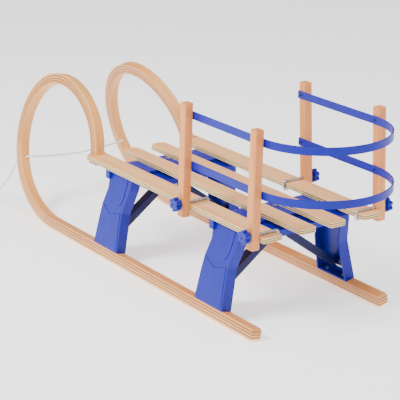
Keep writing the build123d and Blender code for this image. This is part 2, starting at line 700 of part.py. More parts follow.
# From the stop knot through the right horn, across, and out through the left horn.
rope_front = on_hole_axis(ROPE_AHEAD)
ROPE_ROUTE = [
    (rope_front.X, -rope_front.Y, rope_front.Z),
    (1050.1, 40.4 - HALF_GROUND, 140.2),
    (1038.5, 62.5 - HALF_GROUND, 138.0),
    (1037.0, -62.0, 131.5),
    (1036.5, 2.0, 128.5),
    (1037.0, 64.0, 132.0),
    (1038.5, HALF_GROUND - 62.5, 138.0),
    (1050.1, HALF_GROUND - 40.4, 140.2),
    (1100.2, HALF_GROUND - 35.9, 118.0),
    (1108.0, HALF_GROUND - 26.0, 88.0),
    (1118.0, HALF_GROUND - 11.0, 58.0),
    (1132.0, HALF_GROUND + 10.0, 31.0),
    (1151.0, HALF_GROUND + 36.0, 11.0),
    (1170.0, HALF_GROUND + 62.0, 2.8),
    (1185.0, HALF_GROUND + 85.0, 2.6),
]


def corner_radii(points):
    """Return for each inner corner the largest arc that its two runs allow."""
    radii = []
    vectors = [Vector(*p) for p in points]
    for before, corner, after in zip(vectors, vectors[1:], vectors[2:]):
        run_in, run_out = corner - before, after - corner
        half_turn = radians(run_in.get_angle(run_out)) / 2
        radii.append(ROPE_ARC_SHARE * min(run_in.length, run_out.length) / tan(half_turn))
    return radii


radii = corner_radii(ROPE_ROUTE)
print("rope corner radii", [round(r, 1) for r in radii])
rope_path = FilletPolyline(*ROPE_ROUTE, radius=radii)
rope_start = Plane(
    origin=ROPE_ROUTE[0], z_dir=Vector(*ROPE_ROUTE[1]) - Vector(*ROPE_ROUTE[0])
)
parts["pull_rope"] = sweep(rope_start * Circle(ROPE_R), path=rope_path)
print("rope length", round(rope_path.length, 1))
print("volume ratio", parts["pull_rope"].volume / (pi * ROPE_R**2 * rope_path.length))

last = Vector(*ROPE_ROUTE[-1])
heading = (last - Vector(*ROPE_ROUTE[-2])).normalized()
outer_turn = COIL_MIDDLE_R + COIL_STEP / 2
coil_centre = Vector(last.X - heading.Y * outer_turn, last.Y + heading.X * outer_turn)
coil = Cylinder(COIL_MIDDLE_R + COIL_HALF_WIDTH, COIL_HEIGHT)
coil -= Cylinder(COIL_MIDDLE_R - COIL_HALF_WIDTH, COIL_HEIGHT)
coil = fillet(coil.edges().filter_by(GeomType.CIRCLE), COIL_ROUND)
parts["rope_coil"] = Pos(coil_centre.X, coil_centre.Y, COIL_HEIGHT / 2) * coil

# The ball of the stop knot sits in the mouth of the hole.
knot_stand = sqrt((STOP_KNOT_R + HOOK_GAP) ** 2 - ROPE_HOLE_R**2)
knot_place = on_hole_axis(BAR_THICK / 2 + knot_stand)
parts["rope_stop_knot"] = Pos(knot_place.X, -knot_place.Y, knot_place.Z) * Sphere(STOP_KNOT_R)
knot_reach = COIL_MIDDLE_R + COIL_HALF_WIDTH + END_KNOT_R - KNOT_SINK
end_knot_x = coil_centre.X - heading.Y * knot_reach
end_knot_y = coil_centre.Y + heading.X * knot_reach
parts["rope_end_knot"] = Pos(end_knot_x, end_knot_y, END_KNOT_R) * Sphere(END_KNOT_R)

# ---- Export -------------------------------------------------------------------------
rear_reach = max(band_radius(level) for level in BAND_BOTTOMS) - BAND_ARC_X
MIDDLE_X = (HORN_FRONT_X - rear_reach) / 2
print("middle x", MIDDLE_X, "coil centre", coil_centre, "end knot", end_knot_x, end_knot_y)
os.makedirs("parts", exist_ok=True)
for name, shape in parts.items():
    export_step(Pos(-MIDDLE_X, 0, 0) * shape, "parts/" + name + ".step")
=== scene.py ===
"""Looks of a wooden horn sledge with a clamp-on back rest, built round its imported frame."""
import json
import logging
import math
from dataclasses import dataclass
from enum import Enum
from typing import Sequence, Union

import bpy
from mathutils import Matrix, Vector


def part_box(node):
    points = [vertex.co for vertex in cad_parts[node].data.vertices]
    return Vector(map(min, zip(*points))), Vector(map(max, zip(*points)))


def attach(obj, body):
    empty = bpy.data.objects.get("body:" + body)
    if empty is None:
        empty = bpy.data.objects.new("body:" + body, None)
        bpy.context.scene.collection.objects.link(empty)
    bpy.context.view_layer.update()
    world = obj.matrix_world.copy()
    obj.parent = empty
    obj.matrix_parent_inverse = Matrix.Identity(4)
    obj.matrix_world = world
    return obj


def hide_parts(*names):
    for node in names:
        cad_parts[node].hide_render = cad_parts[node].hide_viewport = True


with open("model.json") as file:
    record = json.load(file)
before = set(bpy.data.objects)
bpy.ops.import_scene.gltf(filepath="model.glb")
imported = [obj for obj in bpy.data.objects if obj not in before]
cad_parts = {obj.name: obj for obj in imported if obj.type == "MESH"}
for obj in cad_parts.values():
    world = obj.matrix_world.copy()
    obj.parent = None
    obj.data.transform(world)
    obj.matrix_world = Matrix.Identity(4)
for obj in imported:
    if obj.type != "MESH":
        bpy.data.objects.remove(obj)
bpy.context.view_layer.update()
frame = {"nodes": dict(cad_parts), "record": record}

LOG = logging.getLogger("sledge")
ROOT = "frame"
MM = 0.001
BUMP_STRENGTH = 0.6
CURVE_ORDER = 3
BEVEL_RESOLUTION = 4

Socket = bpy.types.NodeSocket
Value = Union[float, Socket]


class Grain(Enum):
    """The axis that a board's grain runs along."""

    ALONG_X = (2.2, 60.0, 60.0)
    ALONG_Z = (60.0, 60.0, 2.2)


def linear(red: int, green: int, blue: int) -> tuple[float, float, float, float]:
    """Turn a screen colour into the linear colour that shaders use.

    Args:
        red: Red from 0 to 255.
        green: Green from 0 to 255.
        blue: Blue from 0 to 255.

    Returns:
        The linear colour with full alpha.
    """
    channels = []
    for level in (red, green, blue):
        share = level / 255
        low = share / 12.92
        high = ((share + 0.055) / 1.055) ** 2.4
        channels.append(low if share <= 0.04045 else high)
    return (channels[0], channels[1], channels[2], 1.0)


class Graph:
    """A small hand for placing and joining shader nodes in one tree."""

    def __init__(self, tree: bpy.types.NodeTree) -> None:
        """Keep the tree that the nodes go into."""
        self.tree = tree

    def node(self, kind: str, **settings: object) -> bpy.types.Node:
        """Add a node.

        Args:
            kind: The node's type name.
            **settings: Properties to set on it.

        Returns:
            The new node.
        """
        node = self.tree.nodes.new(kind)
        for name, value in settings.items():
            setattr(node, name, value)
        return node

    def feed(self, socket: Socket, value: object) -> None:
        """Link a socket into an input, or set the input to a plain value.

        Args:
            socket: The input.
            value: A socket to link, or a plain value.
        """
        if isinstance(value, bpy.types.NodeSocket):
            self.tree.links.new(value, socket)
        else:
            socket.default_value = value

    def math(self, operation: str, first: Value, second: Value = 0.0) -> Socket:
        """Return the result of a Math node on one or two values.

        Args:
            operation: The node's operation.
            first: The first value or its socket.
            second: The second value or its socket.

        Returns:
            The result.
        """
        node = self.node("ShaderNodeMath", operation=operation)
        self.feed(node.inputs[0], first)
        self.feed(node.inputs[1], second)
        return node.outputs[0]

    def blend(self, share: Value, first: Value, second: Value) -> Socket:
        """Return the value that goes from first to second as share goes from 0 to 1.

        Args:
            share: How much of the second value counts.
            first: The first value or its socket.
            second: The second value or its socket.

        Returns:
            The mixed value.
        """
        node = self.node("ShaderNodeMix", data_type="FLOAT")
        self.feed(node.inputs[0], share)
        self.feed(node.inputs[2], first)
        self.feed(node.inputs[3], second)
        return node.outputs[0]

    def tint(self, share: Value, first: object, second: object, how: str = "MIX") -> Socket:
        """Return a mix of two colours.

        Args:
            share: How much of the second colour shows.
            first: The first colour or its socket.
            second: The second colour or its socket.
            how: The way that the colours are blended.

        Returns:
            The mixed colour.
        """
        node = self.node("ShaderNodeMix", data_type="RGBA", blend_type=how)
        self.feed(node.inputs[0], share)
        self.feed(node.inputs[6], first)
        self.feed(node.inputs[7], second)
        return node.outputs[2]

    def spread(self, value: Value, low: float, high: float, to_low: float, to_high: float) -> Socket:
        """Return a value moved from one range to another, held inside the new one.

        Args:
            value: The value or its socket.
            low: The old range's start.
            high: The old range's end.
            to_low: The new range's start.
            to_high: The new range's end.

        Returns:
            The moved value.
        """
        node = self.node("ShaderNodeMapRange", interpolation_type="SMOOTHSTEP")
        for socket, number in zip(node.inputs, (value, low, high, to_low, to_high)):
            self.feed(socket, number)
        return node.outputs[0]

    def noise(self, vector: Socket, scale: Value, detail: float, rough: float) -> Socket:
        """Return a cloud of noise over a vector.

        Args:
            vector: Where the noise is read.
            scale: How close its lumps lie.
            detail: How many finer layers it has.
            rough: How strong the finer layers are.

        Returns:
            The noise from 0 to 1.
        """
        node = self.node("ShaderNodeTexNoise")
        self.feed(node.inputs["Vector"], vector)
        self.feed(node.inputs["Scale"], scale)
        self.feed(node.inputs["Detail"], detail)
        self.feed(node.inputs["Roughness"], rough)
        return node.outputs[0]

    def stretch(self, vector: Socket, factors: Sequence[float]) -> Socket:
        """Return a vector scaled by a factor on each axis.

        Args:
            vector: The vector.
            factors: A factor for each axis.

        Returns:
            The scaled vector.
        """
        node = self.node("ShaderNodeVectorMath", operation="MULTIPLY")
        self.feed(node.inputs[0], vector)
        node.inputs[1].default_value = factors
        return node.outputs[0]

    def split(self, vector: Socket) -> tuple[Socket, Socket, Socket]:
        """Return the three parts of a vector."""
        node = self.node("ShaderNodeSeparateXYZ")
        self.feed(node.inputs[0], vector)
        return node.outputs[0], node.outputs[1], node.outputs[2]

    def join(self, x: Value, y: Value, z: Value) -> Socket:
        """Return a vector made of three values.

        Args:
            x: The first part.
            y: The second part.
            z: The third part.

        Returns:
            The vector.
        """
        node = self.node("ShaderNodeCombineXYZ")
        for socket, value in zip(node.inputs, (x, y, z)):
            self.feed(socket, value)
        return node.outputs[0]

    def place(self) -> Socket:
        """Return the object coordinates."""
        return self.node("ShaderNodeTexCoord").outputs["Object"]

    def facing(self) -> tuple[Socket, Socket, Socket]:
        """Return the parts of the surface normal in the object's own axes."""
        return self.split(self.node("ShaderNodeTexCoord").outputs["Normal"])

    def group(self, tree: bpy.types.NodeTree, **values: object) -> bpy.types.Node:
        """Place a shared node group and feed its named inputs.

        Args:
            tree: The group's tree.
            **values: A value or a socket for each named input.

        Returns:
            The group's node.
        """
        node = self.node("ShaderNodeGroup", node_tree=tree)
        for name, value in values.items():
            self.feed(node.inputs[name], value)
        return node


class Effects:
    """Shared surface effects, each one a node group that is built once."""

    def __init__(self) -> None:
        """Build the groups."""
        self.grain = self.build_grain()
        self.scuff = self.build_scuff()

    @staticmethod
    def start(name: str, inputs: dict[str, float], outputs: Sequence[str]) -> Graph:
        """Begin a group with a Vector input and float sockets.

        Args:
            name: The group's name.
            inputs: Float inputs with their defaults.
            outputs: Names of the float outputs.

        Returns:
            The group's graph, with its input and output nodes in place.
        """
        tree = bpy.data.node_groups.new(name, "ShaderNodeTree")
        tree.interface.new_socket("Vector", in_out="INPUT", socket_type="NodeSocketVector")
        for label, default in inputs.items():
            socket = tree.interface.new_socket(
                label, in_out="INPUT", socket_type="NodeSocketFloat"
            )
            socket.default_value = default
        for label in outputs:
            tree.interface.new_socket(label, in_out="OUTPUT", socket_type="NodeSocketFloat")
        graph = Graph(tree)
        graph.node("NodeGroupInput")
        graph.node("NodeGroupOutput")
        return graph

    def build_grain(self) -> bpy.types.NodeTree:
        """Return wood grain: soft figure, growth lines and short pores.

        Returns:
            The group's tree.
        """
        graph = self.start("wood_grain", {"Figure": 1.0, "Pores": 1.0}, ("Tone", "Height"))
        source = graph.tree.nodes["Group Input"].outputs
        sink = graph.tree.nodes["Group Output"].inputs
        vector = source["Vector"]
        cloud = graph.noise(vector, scale=0.55, detail=3.0, rough=0.5)
        lines = graph.noise(vector, scale=2.6, detail=4.0, rough=0.62)
        fine = graph.noise(vector, scale=11.0, detail=2.0, rough=0.5)
        pores = graph.spread(fine, 0.6, 0.72, 0.0, 1.0)
        figure = graph.blend(0.55, cloud, lines)
        tone = graph.spread(figure, 0.34, 0.66, 0.0, 1.0)
        tone = graph.math("MULTIPLY", tone, source["Figure"])
        dark = graph.math("MULTIPLY", pores, source["Pores"])
        tone = graph.math("ADD", tone, graph.math("MULTIPLY", dark, 0.35))
        graph.feed(sink["Tone"], tone)
        graph.feed(sink["Height"], graph.math("SUBTRACT", lines, graph.math("MULTIPLY", dark, 0.4)))
        return graph.tree

    def build_scuff(self) -> bpy.types.NodeTree:
        """Return handling marks: patches of soft rubbing and thin scratches.

        Returns:
            The group's tree.
        """
        graph = self.start("handling_marks", {"Size": 18.0, "Amount": 1.0}, ("Mask", "Height"))
        source = graph.tree.nodes["Group Input"].outputs
        sink = graph.tree.nodes["Group Output"].inputs
        vector = source["Vector"]
        cloud = graph.noise(vector, scale=source["Size"], detail=3.0, rough=0.6)
        patches = graph.spread(cloud, 0.5, 0.75, 0.0, 1.0)
        thin = graph.stretch(vector, (9.0, 60.0, 60.0))
        lines = graph.noise(thin, scale=3.0, detail=2.0, rough=0.5)
        scratches = graph.spread(lines, 0.66, 0.7, 0.0, 1.0)
        marks = graph.math("MULTIPLY", scratches, patches)
        mask = graph.math("ADD", graph.math("MULTIPLY", patches, 0.35), marks)
        graph.feed(sink["Mask"], graph.math("MULTIPLY", mask, source["Amount"]))
        graph.feed(sink["Height"], graph.math("MULTIPLY", marks, -1.0))
        return graph.tree


@dataclass(frozen=True)
class Finish:
    """What every finish has: a name, a roughness and a bump depth."""

    name: str
    roughness: float
    bump: float

    def start(self) -> tuple[bpy.types.Material, Graph, bpy.types.Node]:
        """Begin a new material.

        Returns:
            The material, its graph and its main shader.
        """
        material = bpy.data.materials.new(self.name)
        material.use_nodes = True
        shader = material.node_tree.nodes["Principled BSDF"]
        return material, Graph(material.node_tree), shader

    @staticmethod
    def lacquer(shader: bpy.types.Node, weight: float, roughness: float) -> None:
        """Give the shader a clear coat."""
        shader.inputs["Coat Weight"].default_value = weight
        shader.inputs["Coat Roughness"].default_value = roughness

    def dress(
        self, graph: Graph, shader: bpy.types.Node, colour: Socket, rough: Value, height: Socket
    ) -> None:
        """Feed the shader its colour, roughness and bumped normal.

        Args:
            graph: The material's graph.
            shader: The main shader.
            colour: The base colour.
            rough: The roughness.
            height: Surface height for the bump.
        """
        relief = graph.node("ShaderNodeBump")
        relief.inputs["Strength"].default_value = BUMP_STRENGTH
        relief.inputs["Distance"].default_value = self.bump
        graph.feed(relief.inputs["Height"], height)
        graph.feed(shader.inputs["Base Color"], colour)
        graph.feed(shader.inputs["Roughness"], rough)
        graph.feed(shader.inputs["Normal"], relief.outputs[0])


@dataclass(frozen=True)
class SolidWood(Finish):
    """Lacquered solid wood with grain along one axis."""

    light: tuple[float, float, float, float]
    dark: tuple[float, float, float, float]
    grain: Grain
    coat: float = 0.12
    coat_roughness: float = 0.35

    def build(self, effects: Effects) -> bpy.types.Material:
        """Return the material.

        Args:
            effects: The shared surface effects.

        Returns:
            The finished material.
        """
        material, graph, shader = self.start()
        vector = graph.stretch(graph.place(), self.grain.value)
        wood = graph.group(effects.grain, Vector=vector, Figure=0.75, Pores=0.7)
        colour = graph.tint(wood.outputs["Tone"], self.light, self.dark)
        rough = graph.spread(wood.outputs["Tone"], 0.0, 1.0, self.roughness, self.roughness + 0.12)
        self.dress(graph, shader, colour, rough, wood.outputs["Height"])
        self.lacquer(shader, self.coat, self.coat_roughness)
        return material


@dataclass(frozen=True)
class Plywood(Finish):
    """Lacquered plywood: a veneer on the faces and plies round the edges."""

    light: tuple[float, float, float, float]
    dark: tuple[float, float, float, float]
    ply_light: tuple[float, float, float, float]
    ply_dark: tuple[float, float, float, float]
    bottom: float
    thickness: float
    plies: int = 5
    coat: float = 0.1
    coat_roughness: float = 0.3

    def build(self, effects: Effects) -> bpy.types.Material:
        """Return the material.

        Args:
            effects: The shared surface effects.

        Returns:
            The finished material.
        """
        material, graph, shader = self.start()
        place = graph.place()
        wood = graph.group(
            effects.grain, Vector=graph.stretch(place, Grain.ALONG_X.value), Figure=0.8, Pores=0.5
        )
        veneer = graph.tint(wood.outputs["Tone"], self.light, self.dark)
        height_up = graph.split(place)[2]
        waver = graph.noise(
            graph.stretch(place, (12.0, 12.0, 2.0)), scale=1.0, detail=2.0, rough=0.5
        )
        level = graph.math("DIVIDE", graph.math("SUBTRACT", height_up, self.bottom), self.thickness)
        level = graph.math("ADD", level, graph.math("MULTIPLY", waver, 0.03))
        layer = graph.math("MULTIPLY", level, float(self.plies))
        cross = graph.math("GREATER_THAN", graph.math("MODULO", layer, 2.0), 1.0)
        within = graph.math("FRACT", layer)
        glue = graph.math("ABSOLUTE", graph.math("SUBTRACT", within, 0.5))
        glue = graph.spread(glue, 0.36, 0.47, 0.0, 1.0)
        ends = graph.noise(
            graph.stretch(place, (420.0, 420.0, 60.0)), scale=1.0, detail=2.0, rough=0.6
        )
        cross_tone = graph.math("MULTIPLY", cross, graph.spread(ends, 0.3, 0.7, 0.6, 1.0))
        edge = graph.tint(cross_tone, self.ply_light, self.ply_dark)
        edge = graph.tint(graph.math("MULTIPLY", glue, 0.7), edge, self.ply_dark)
        upward = graph.math("ABSOLUTE", graph.facing()[2])
        side = graph.spread(upward, 0.45, 0.6, 1.0, 0.0)
        colour = graph.tint(side, veneer, edge)
        rough = graph.blend(side, self.roughness, self.roughness + 0.2)
        grooves = graph.math("MULTIPLY", graph.math("MULTIPLY", glue, side), -1.0)
        height = graph.math("ADD", wood.outputs["Height"], grooves)
        self.dress(graph, shader, colour, rough, height)
        self.lacquer(shader, self.coat, self.coat_roughness)
        return material


@dataclass(frozen=True)
class BentLaminate(Finish):
    """Bent bar glued from thin layers that follow the runner and its horn."""

    light: tuple[float, float, float, float]
    dark: tuple[float, float, float, float]
    glue: tuple[float, float, float, float]
    splay: float = math.radians(11.5)
    half_ground: float = 0.188
    lift: float = 0.00463
    straight: float = 0.8639
    arcs: tuple[tuple[float, float], ...] = ((0.270, 38), (0.182, 142), (0.240, 40), (0.170, 37))
    thickness: float = 0.026
    layers: int = 4
    scarf_height: float = 0.165
    scarf_reach: float = 0.2
    scarf_paleness: float = 0.3
    return_height: float = 0.19
    seam_strength: float = 0.85
    skin: float = 0.002
    grain_lean: float = 0.7
    grain_scale: tuple[float, float, float] = (3.0, 22.0, 70.0)
    coat: float = 0.15
    coat_roughness: float = 0.3

    def depth(self, graph: Graph, x: Socket, up: Socket) -> Socket:
        """Return how far a point lies in from the bar's outer edge.

        Args:
            graph: The material's graph.
            x: Place along the sledge.
            up: Height up the side frame.

        Returns:
            The depth in metres.
        """
        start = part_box("left_runner")[0][0] + self.straight
        depth = up
        point = (start, 0.0)
        heading = 0.0
        high = graph.math("GREATER_THAN", up, self.return_height)
        for number, (radius, turn) in enumerate(self.arcs):
            centre = (
                point[0] - radius * math.sin(heading),
                point[1] + radius * math.cos(heading),
            )
            across = graph.math("SUBTRACT", x, centre[0])
            above = graph.math("SUBTRACT", up, centre[1])
            reach = graph.math(
                "SQRT",
                graph.math(
                    "ADD",
                    graph.math("MULTIPLY", across, across),
                    graph.math("MULTIPLY", above, above),
                ),
            )
            inside = graph.math("SUBTRACT", radius, reach)
            ahead = graph.math(
                "ADD",
                graph.math("MULTIPLY", graph.math("SUBTRACT", x, point[0]), math.cos(heading)),
                graph.math("MULTIPLY", graph.math("SUBTRACT", up, point[1]), math.sin(heading)),
            )
            past = graph.math("GREATER_THAN", ahead, 0.0)
            if number > 1:
                past = graph.math("MULTIPLY", past, high)
            depth = graph.blend(past, depth, inside)
            heading += math.radians(turn)
            point = (
                centre[0] + radius * math.sin(heading),
                centre[1] - radius * math.cos(heading),
            )
        return depth

    def build(self, effects: Effects) -> bpy.types.Material:
        """Return the material.

        Args:
            effects: The shared surface effects.

        Returns:
            The finished material.
        """
        material, graph, shader = self.start()
        x, y, z = graph.split(graph.place())
        out = graph.math("SUBTRACT", graph.math("ABSOLUTE", y), self.half_ground)
        rise = graph.math("SUBTRACT", z, self.lift)
        up = graph.math(
            "SUBTRACT",
            graph.math("MULTIPLY", rise, math.cos(self.splay)),
            graph.math("MULTIPLY", out, math.sin(self.splay)),
        )
        depth = self.depth(graph, x, up)
        along, across, through = self.grain_scale
        run = graph.math("ADD", x, graph.math("MULTIPLY", z, self.grain_lean))
        vector = graph.join(
            graph.math("MULTIPLY", run, along),
            graph.math("MULTIPLY", y, across),
            graph.math("MULTIPLY", depth, through),
        )
        wood = graph.group(effects.grain, Vector=vector, Figure=0.7, Pores=0.6)
        layer = graph.math("MULTIPLY", depth, self.layers / self.thickness)
        number = graph.math("FLOOR", layer)
        shade = graph.noise(graph.join(number, 3.3, 7.1), scale=2.7, detail=0.0, rough=0.5)
        tone = graph.math("ADD", wood.outputs["Tone"], graph.spread(shade, 0.3, 0.7, -0.22, 0.22))
        colour = graph.tint(graph.math("MAXIMUM", tone, 0.0), self.light, self.dark)
        seam = graph.math("ABSOLUTE", graph.math("SUBTRACT", graph.math("FRACT", layer), 0.5))
        seam = graph.spread(seam, 0.3, 0.38, 0.0, 1.0)
        inner = graph.math("GREATER_THAN", depth, self.skin)
        outer = graph.math("LESS_THAN", depth, self.thickness - self.skin)
        seam = graph.math("MULTIPLY", seam, graph.math("MULTIPLY", inner, outer))
        colour = graph.tint(graph.math("MULTIPLY", seam, self.seam_strength), colour, self.glue)
        front = graph.math("GREATER_THAN", x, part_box("left_runner")[1][0] - self.scarf_reach)
        below = graph.spread(up, self.scarf_height - MM, self.scarf_height + MM, 1.0, 0.0)
        pale = graph.math("MULTIPLY", graph.math("MULTIPLY", front, below), self.scarf_paleness)
        colour = graph.tint(pale, colour, self.light)
        height = graph.math("SUBTRACT", wood.outputs["Height"], seam)
        self.dress(graph, shader, colour, self.roughness, height)
        self.lacquer(shader, self.coat, self.coat_roughness)
        return material


@dataclass(frozen=True)
class MouldedPlastic(Finish):
    """Through-coloured moulded plastic with a fine satin skin and rubbed patches."""

    colour: tuple[float, float, float, float]
    rubbed: tuple[float, float, float, float]
    shine: float = 0.3

    def build(self, effects: Effects) -> bpy.types.Material:
        """Return the material.

        Args:
            effects: The shared surface effects.

        Returns:
            The finished material.
        """
        material, graph, shader = self.start()
        place = graph.place()
        marks = graph.group(effects.scuff, Vector=place, Size=14.0, Amount=0.5)
        swirl = graph.noise(place, scale=26.0, detail=2.0, rough=0.5)
        colour = graph.tint(graph.spread(swirl, 0.35, 0.65, 0.0, 0.3), self.colour, self.rubbed)
        colour = graph.tint(marks.outputs["Mask"], colour, self.rubbed)
        skin = graph.noise(place, scale=900.0, detail=2.0, rough=0.55)
        rough = graph.math(
            "ADD", graph.spread(skin, 0.3, 0.7, self.roughness - 0.05, self.roughness + 0.07),
            graph.math("MULTIPLY", marks.outputs["Mask"], 0.15),
        )
        self.dress(graph, shader, colour, rough, skin)
        shader.inputs["Specular IOR Level"].default_value = self.shine
        return material


@dataclass(frozen=True)
class ZincSteel(Finish):
    """Bright zinc-plated steel with the cloudy tone of plating."""

    light: tuple[float, float, float, float]
    dark: tuple[float, float, float, float]

    def build(self, effects: Effects) -> bpy.types.Material:
        """Return the material.

        Args:
            effects: The shared surface effects.

        Returns:
            The finished material.
        """
        material, graph, shader = self.start()
        place = graph.place()
        cloud = graph.noise(place, scale=120.0, detail=3.0, rough=0.6)
        marks = graph.group(effects.scuff, Vector=place, Size=60.0, Amount=0.7)
        colour = graph.tint(graph.spread(cloud, 0.35, 0.65, 0.0, 1.0), self.light, self.dark)
        rough = graph.math(
            "ADD", graph.spread(cloud, 0.3, 0.7, self.roughness, self.roughness + 0.12),
            graph.math("MULTIPLY", marks.outputs["Mask"], 0.1),
        )
        grit = graph.noise(place, scale=700.0, detail=2.0, rough=0.5)
        self.dress(graph, shader, colour, rough, grit)
        shader.inputs["Metallic"].default_value = 1.0
        return material


@dataclass(frozen=True)
class BraidedRope(Finish):
    """White braided rope: strands that cross along the piece's own UV map."""

    light: tuple[float, float, float, float]
    dark: tuple[float, float, float, float]
    repeats: float
    strands: float = 4.0

    def build(self, effects: Effects) -> bpy.types.Material:
        """Return the material.

        Args:
            effects: The shared surface effects; not used here.

        Returns:
            The finished material.
        """
        material, graph, shader = self.start()
        along, around, _ = graph.split(graph.node("ShaderNodeTexCoord").outputs["UV"])
        waves = []
        for hand in (1.0, -1.0):
            turn = graph.math(
                "ADD",
                graph.math("MULTIPLY", along, self.repeats),
                graph.math("MULTIPLY", around, hand * self.strands),
            )
            waves.append(graph.math("SINE", graph.math("MULTIPLY", turn, math.tau)))
        ridge = graph.spread(graph.math("MAXIMUM", waves[0], waves[1]), -0.2, 1.0, 0.0, 1.0)
        fuzz = graph.noise(graph.place(), scale=1500.0, detail=2.0, rough=0.6)
        # The valleys between the strands take the dark colour: painted shade in the braid's creases.
        colour = graph.tint(ridge, self.dark, self.light)
        height = graph.math("ADD", ridge, graph.math("MULTIPLY", fuzz, 0.3))
        self.dress(graph, shader, colour, graph.spread(fuzz, 0.3, 0.7, 0.75, 0.95), height)
        shader.inputs["Sheen Weight"].default_value = 0.2
        return material


@dataclass(frozen=True)
class SolidRope(Finish):
    """Rope pulled into a knot, where the braid shows as small crossing ribs."""

    light: tuple[float, float, float, float]
    dark: tuple[float, float, float, float]

    def build(self, effects: Effects) -> bpy.types.Material:
        """Return the material.

        Args:
            effects: The shared surface effects; not used here.

        Returns:
            The finished material.
        """
        material, graph, shader = self.start()
        place = graph.place()
        ribs = graph.noise(place, scale=900.0, detail=1.0, rough=0.4)
        fuzz = graph.noise(place, scale=2500.0, detail=2.0, rough=0.6)
        share = graph.spread(ribs, 0.35, 0.6, 0.0, 1.0)
        # The low parts between the ribs take the dark colour: painted shade in the knot's creases.
        colour = graph.tint(share, self.dark, self.light)
        height = graph.math("ADD", share, graph.math("MULTIPLY", fuzz, 0.3))
        self.dress(graph, shader, colour, graph.spread(fuzz, 0.3, 0.7, 0.75, 0.95), height)
        return material


